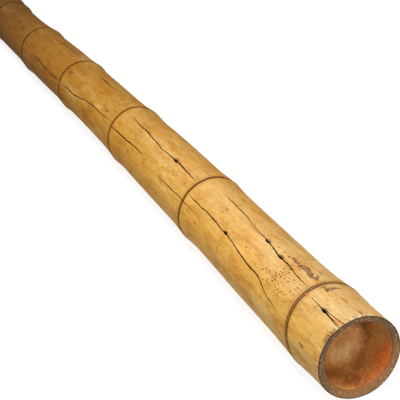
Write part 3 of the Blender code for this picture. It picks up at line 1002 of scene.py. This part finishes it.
def makeSkinMaterial():
    finish = skinFinish
    paint, shader = newMaterial("goldenSkin")
    feed(shader["Specular IOR Level"], finish["specular"])
    feed(shader["Specular Tint"], finish["specularTint"])
    place = group("place", {"Raggedness": 0.8})
    straight, along, around = place["Straight"], place["Along"], place["Around"]
    length, roundRadius = culm["length"] * 1000, culm["usualRadius"] * 1000

    def patches(name):
        names = ("Scale", "Stretch", "Start", "Stop", "Seed")
        return group("patches", {"Straight": straight, **dict(zip(names, finish["patches"][name]))})["Mask"]

    def fibres(name):
        fineness, stretch = finish[name]
        return group("grain", {"Straight": straight, "Fineness": fineness, "Stretch": stretch})["Streaks"]

    def grains(name, where):
        stretch, scale, detail, start, stop, share = finish[name]
        return smooth(noise(stretched(straight, stretch), scale, detail), start, stop) * where * share

    # broad warm patches, pale ones and ochre clouds, all calmer towards the far end
    calm = smooth(along, *finish["calm"])
    warm, clouds, pale = patches("warm"), patches("clouds"), patches("pale")
    # the tone ramp: browner towards the far end, partly the cane's own colour and partly painted shade of the
    # light falling off
    colour = ramp(along / length, [(distance / length, rgb) for distance, rgb in finish["tonesAndPaintedFalloff"]])
    colour = mixed(warm * scaled(calm, *finish["warmShare"]), colour, finish["warmPatch"], "MULTIPLY")
    colour = mixed(pale * scaled(calm, *finish["paleShare"]), colour, finish["palePatch"], "SCREEN")
    colour = mixed(clouds * finish["cloudShare"], colour, finish["ochre"], "MULTIPLY")

    # painted shade on the sides: a warmer, deeper tint on the left side, and a darker olive one where the skin
    # turns away from the camera and underneath, stronger towards the far end
    first, second = (smooth(around, *span) for span in finish["leftShadeRound"])
    leftShade = first * second * smooth(along, *finish["leftShadeAlong"])
    colour = mixed(leftShade, colour, finish["leftShade"], "MULTIPLY")
    turnedAway = smooth(around, *finish["turnedRound"]) * smooth(along, *finish["turnedAlong"])
    turnedAway = turnedAway * scaled(smooth(along, *finish["turnedNear"]), 0.4, 0.6)
    underside = smooth(around, *finish["underRound"])
    underside = underside * scaled(smooth(along, *finish["underAlong"]), *finish["underShare"])
    # painted shade: the side turned away and the underside darkened, more towards the far end
    aside = calc("MAXIMUM", underside, turnedAway * finish["turnedShare"])
    colour = mixed(aside, colour, finish["sideShade"], "MULTIPLY")

    # the fibres and a fine mottling, dark specks among the clouds, and short dashes along the fibres
    coarse, fine = fibres("coarse"), fibres("fine")
    streaks = scaled(fine, 0.6, coarse * 0.4)
    shade = scaled(streaks, 2 * finish["fineGrain"], 1 - finish["fineGrain"])
    mottles = noise(straight, finish["mottleScale"], detail=4.0) - 0.5
    colour = shaded(colour, scaled(mottles, finish["mottles"], shade))
    specks, dashes = grains("specks", smooth(clouds, 0.1, 0.7)), grains("dashes", patches("dashes"))
    colour = mixed(calc("MAXIMUM", specks, dashes), colour, finish["speckTone"])

    # the rings
    bands = [group("ring", {"Along": along, "Ring": node * 1000}) for node in culm["nodeAt"]]
    stain, lines, crest = (highest([band[key] for band in bands]) for key in ("Stain", "Lines", "Crest"))
    colour = mixed(stain * finish["stainShare"], colour, finish["ringStain"], "MULTIPLY")
    crestColour = mixed(smooth(along, *finish["firstCrestAlong"]), finish["firstCrest"], finish["ringCrest"])
    colour = mixed(crest * finish["crestShare"], colour, crestColour)
    colour = mixed(lines * scaled(coarse, 0.2, 0.8) * finish["lineShare"], colour, finish["ringLine"])

    # scars, blots and scratches
    gloss = scaled(streaks, 0.12, finish["roughness"] - 0.06)
    height = streaks * 0.35 + warm * 0.5
    for kind, marks in scars.items():
        body, bodyShare, rim, rimShare, rougher, deeper, softness = scarFinish[kind]
        found = [group("blot", {
            "Along": place["Ragged along"], "Around": place["Ragged around"], "Centre along": float(distance),
            "Centre around": (degrees - 90) * math.pi / 180 * roundRadius, "Half length": halfLength,
            "Half width": halfWidth, "Turn": math.radians(turn), "Softness": softness})
            for distance, degrees, halfLength, halfWidth, turn in marks]
        bodies, rims = (highest([mark[key] for mark in found]) for key in ("Body", "Rim"))
        border, inside = rims, bodies
        if kind in tornBorder:
            border, inside = (smooth(bodies, *span) for span in tornBorder[kind])
        colour = mixed(border * rimShare, colour, rim)
        colour = mixed(inside * bodyShare, colour, body)
        gloss, height = gloss + bodies * rougher, height + bodies * -deeper

    # the sawn edges are frayed pale, most near the top, where the pale is partly a painted highlight, and a
    # little dirty
    edge = calc("MINIMUM", along, length - along)
    frayAndHighlight = smooth(noise(stretched(straight, 0.12), 900.0), 0.50, 0.62) * smooth(edge, *finish["frayedEdge"])
    frayAndHighlight = frayAndHighlight * scaled(smooth(abs(around - 2.0), *finish["frayedRound"]), 0.7, 0.3)
    colour = mixed(frayAndHighlight * finish["frayedShare"], colour, finish["frayAndHighlight"])
    colour = mixed(smooth(edge, *finish["dirtEdge"]) * finish["dirtShare"], colour, finish["dirt"])
    feed(shader["Base Color"], colour)
    feed(shader["Roughness"], gloss)
    bumped(shader, height, 0.35, 0.0004)
    return paint


# The sawn face: grey and rough above, golden below, with the ends of the fibres as dots

cutFinish = {
    "dark": (104, 72, 36), "light": (146, 99, 50), "edge": (44, 27, 14), "dots": (50, 34, 20),
    "fibres": (178, 152, 118),
    "darkSide": (-0.45, 0.89), "middleRadius": 0.038, "darkSpan": (-0.62, 0.05),  # as y and z, and its border
    "dotShare": 0.65, "fibreShare": 0.55, "edgeDepth": (0.0017, 0.0008),
}


def makeCutMaterial():
    finish = cutFinish
    paint, shader = newMaterial("sawnFace", roughness=0.8)
    straight = group("place", {"Raggedness": 0.5})["Straight"]
    parts = parted(straight)
    # the depth attribute is only known at the face's corners, so here it is worked out at every point
    outer = scaled(smooth(parts[0], 0.0, culm["length"]), culm["farRadius"] - culm["nearRadius"],
                   culm["nearRadius"])
    depth = outer - calc("SQRT", parts[1] ** 2 + parts[2] ** 2)
    y, z = (share / finish["middleRadius"] for share in finish["darkSide"])
    rough, fine = noise(straight, 200.0, detail=5.0), noise(straight, 900.0, detail=3.0)
    side = parts[1] * y + parts[2] * z + (rough - 0.5) * 1.6
    colour = mixed(smooth(side, *finish["darkSpan"]), finish["light"], finish["dark"])
    colour = mixed(smooth(fine, 0.48, 0.62) * finish["dotShare"], colour, finish["dots"])
    pale = smooth(noise(straight, 420.0, detail=3.0), 0.55, 0.68)
    colour = mixed(pale * finish["fibreShare"], colour, finish["fibres"])
    colour = mixed(smooth(depth, *finish["edgeDepth"]), colour, finish["edge"])
    feed(shader["Base Color"], colour)
    bumped(shader, fine + rough, 0.9, 0.0008)
    return paint


# The cups and chambers: brown and orange, with pale and dark stains in the near cup; its orange low on the
# right wall is partly painted light and its brown in the middle partly painted shade by the diaphragm

hollowFinish = {
    "base": (186, 127, 63), "farBase": (150, 100, 50), "flecks": (206, 160, 98), "specks": (84, 50, 26),
    "grain": 0.36, "fleckShare": 0.30, "speckShare": 0.5,
    "ragged": 0.016,  # how far a stain's edge strays, in m
    "baseAlong": (60.0, 500.0), "mouthAlong": (2.6, 1.2), "mouthShare": 0.85, "mouthHeight": (-0.014, 0.010),
    "mouth": ((118, 70, 20), (84, 57, 28)),  # the worn edge, below and above
    "stainEdge": (1.25, 0.35),  # where a stain ends and where it is whole, in reaches
    # (distance mm, y mm, z mm from the culm's middle, reach mm, strength, colour)
    "stains": (
        (51, 13, -9, 13, 0.5, (176, 124, 60)), (49, 4, -24, 8, 0.75, (200, 158, 96)),
        (49, 12, -21, 8, 0.75, (208, 166, 104)), (47, 21, -17, 6, 0.6, (202, 160, 102)),
        (43, 30, 2, 10, 0.85, (100, 62, 28)), (38, 31, -10, 6, 0.6, (124, 78, 38)),
        (35, 20, -24, 12, 0.6, (142, 92, 44)), (24, 12, -29, 9, 0.5, (142, 88, 40)),
        (8, 32, -10, 15, 0.9, (196, 98, 22)), (6, 21, -25, 15, 0.8, (168, 80, 18)),
        (13, 3, -31, 13, 0.9, (142, 64, 11)), (33, -8, -31, 13, 0.6, (160, 98, 40)),
        (4, 8, -32, 12, 0.8, (150, 78, 20)), (20, 32, 2, 10, 0.7, (188, 132, 68)),
        (3, 30, 12, 12, 0.6, (154, 94, 38))),
}


def makeHollowMaterial():
    finish = hollowFinish
    paint, shader = newMaterial("cupWall", roughness=0.62)
    place = group("place", {"Raggedness": 0.5})
    straight, along = place["Straight"], place["Along"]
    colour = mixed(smooth(along, *finish["baseAlong"]), finish["base"], finish["farBase"])
    torn = vector("SUBTRACT", noise(straight, 110.0, detail=4.0, output=1), (0.5,) * 3)
    torn = vector("ADD", straight, vector("MULTIPLY", torn, (finish["ragged"],) * 3))
    # these patches are partly stains and partly painted light and shade: the bright orange low on the right
    # stands for the lit wall, the brown in the middle for the shade where the wall meets the diaphragm
    for distance, y, z, reach, strength, rgb in finish["stains"]:
        away = vector("DISTANCE", torn, (distance * mm, y * mm, z * mm), output=1)
        edge = [reach * mm * share for share in finish["stainEdge"]]
        colour = mixed(smooth(away, *edge) * strength, colour, rgb)
    fine, broad = noise(straight, 650.0, detail=4.0), noise(stretched(straight, 0.4), 170.0, detail=3.0)
    colour = shaded(colour, scaled(fine + broad, 2 * finish["grain"], 1 - 2 * finish["grain"]))
    flecks = smooth(noise(stretched(straight, 0.6), 300.0, detail=4.0), 0.52, 0.66)
    colour = mixed(flecks * finish["fleckShare"], colour, finish["flecks"])
    specks = smooth(noise(straight, 480.0), 0.62, 0.72)
    colour = mixed(specks * finish["speckShare"], colour, finish["specks"])
    worn = mixed(smooth(parted(torn)[2], *finish["mouthHeight"]), *finish["mouth"])
    colour = mixed(smooth(along, *finish["mouthAlong"]) * finish["mouthShare"], colour, worn)
    feed(shader["Base Color"], colour)
    bumped(shader, fine + broad, 0.6, 0.0010)
    return paint


# The walls of the splits and of the beetle holes, in the wood's own brown near the skin and darkening with
# depth under it as painted shade

wallFinish = {
    "splitWall": ((0.0, (112, 66, 30)), (0.08, (68, 39, 18)), (0.20, (36, 19, 8)), (1.0, (16, 8, 4))),
    "holeWall": ((0.0, (128, 92, 60)), (0.15, (112, 86, 62)), (0.24, (40, 26, 16)), (0.5, (12, 8, 6))),
    "pinWall": ((0.0, (64, 36, 18)), (0.2, (30, 17, 9)), (1.0, (12, 8, 6))),
    "reach": 0.0050, "amber": (178, 112, 54),
    "freshAlong": (8.0, 5.0), "freshDepth": (0.0030, 0.0006), "freshShare": 0.40,
}


def makeWallMaterial(name):
    finish = wallFinish
    paint, shader = newMaterial(name, roughness=0.75)
    place = group("place", {"Raggedness": 0.5})
    depth = put("ShaderNodeAttribute", output=2, attribute_name="depth")
    # the ramp to near black with depth is painted shade in the narrow splits and holes
    colour = ramp(depth / finish["reach"], finish[name])
    if name == "splitWall":  # fresh wood where the split meets the near cut
        fresh = smooth(place["Along"], *finish["freshAlong"]) * smooth(depth, *finish["freshDepth"])
        colour = mixed(fresh * finish["freshShare"], colour, finish["amber"])
    grain = group("grain", {"Straight": place["Straight"], "Fineness": 1200.0, "Stretch": 0.05})["Streaks"]
    feed(shader["Base Color"], shaded(colour, scaled(grain, 0.5, 0.6)))
    bumped(shader, grain, 0.5, 0.0004)
    return paint


def makeMaterials():
    groups.update({"place": makePlaceOnSkin(), "grain": makeFibreGrain(), "patches": makeSoftPatches(),
                   "blot": makeBlot(), "ring": makeRingBand()})
    return {"skin": makeSkinMaterial(), "cutFace": makeCutMaterial(), "hollow": makeHollowMaterial(),
            **{name: makeWallMaterial(name) for name in ("splitWall", "holeWall", "pinWall")}}


# Stage: a pale floor, soft light and the photograph's camera

stage = {
    "floorColour": (0.20, 0.20, 0.198, 1.0), "floorSize": 60.0, "floorHeight": -0.0003,
    "white": (1.0, 1.0, 1.0, 1.0),
    "floorGlow": (0.86, 0.72), "worldGlow": (1.0, 0.35),  # as the camera sees it, and as it lights the cane
    "key": {"place": (1.20, -0.90, 3.60), "aim": (0.15, 0.0, 0.0), "size": 2.0, "power": 160.0},
    "fill": {"place": (2.30, -0.45, 0.80), "aim": (0.72, 0.0, 0.04), "size": 0.9, "power": 14.0},
}
camera = {
    "place": (1.36957, -0.38777, 0.48209), "turn": (67.5505, 0.0, 68.4737), "lens": 88.94, "sensor": 36.0,
}


def makeAreaLight(name):
    values = stage[name]
    light = bpy.data.lights.new(name, "AREA")
    light.shape, light.size, light.energy = "DISK", values["size"], values["power"]
    item = bpy.data.objects.new(name, light)
    item.location = values["place"]
    aim = Vector(values["aim"]) - Vector(values["place"])
    item.rotation_euler = aim.to_track_quat("-Z", "Y").to_euler()
    bpy.context.scene.collection.objects.link(item)


def glow(strengths):
    # white as the camera sees it, and softer as it lights the cane
    seen = put("ShaderNodeLightPath")
    return put("ShaderNodeMix", {0: seen, 2: strengths[1], 3: strengths[0]}, data_type="FLOAT")


def makeStage():
    half = stage["floorSize"] / 2
    mesh = bpy.data.meshes.new("floor")
    mesh.from_pydata([(-half, -half, 0), (half, -half, 0), (half, half, 0), (-half, half, 0)], [],
                     [(0, 1, 2, 3)])
    floor = bpy.data.objects.new("floor", mesh)
    floor.location.z = stage["floorHeight"]
    bpy.context.scene.collection.objects.link(floor)
    paint, shader = newMaterial("paleFloor", roughness=0.9)
    feed(shader["Base Color"], stage["floorColour"])
    feed(shader["Specular IOR Level"], 0.1)
    feed(shader["Emission Color"], stage["white"])
    feed(shader["Emission Strength"], glow(stage["floorGlow"]))
    mesh.materials.append(paint)
    world = bpy.data.worlds.new("studio")
    world.use_nodes = True
    current["tree"] = world.node_tree
    background = world.node_tree.nodes["Background"].inputs
    feed(background["Color"], stage["white"])
    feed(background["Strength"], glow(stage["worldGlow"]))
    bpy.context.scene.world = world
    makeAreaLight("key")
    makeAreaLight("fill")
    bpy.context.scene.view_settings.view_transform = "Standard"


def makeCamera():
    data = bpy.data.cameras.new("camera")
    data.lens, data.sensor_width = camera["lens"], camera["sensor"]
    data.clip_start, data.clip_end = 0.01, 100.0
    item = bpy.data.objects.new("camera", data)
    item.location = camera["place"]
    item.rotation_euler = Euler([math.radians(v) for v in camera["turn"]])
    bpy.context.scene.collection.objects.link(item)
    bpy.context.scene.camera = item


materials = makeMaterials()
print("materials:", ", ".join(materials))
cane = makeCulm()
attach(cane, "root")
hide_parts("culm")
makeStage()
makeCamera()
print("stage and camera ready")
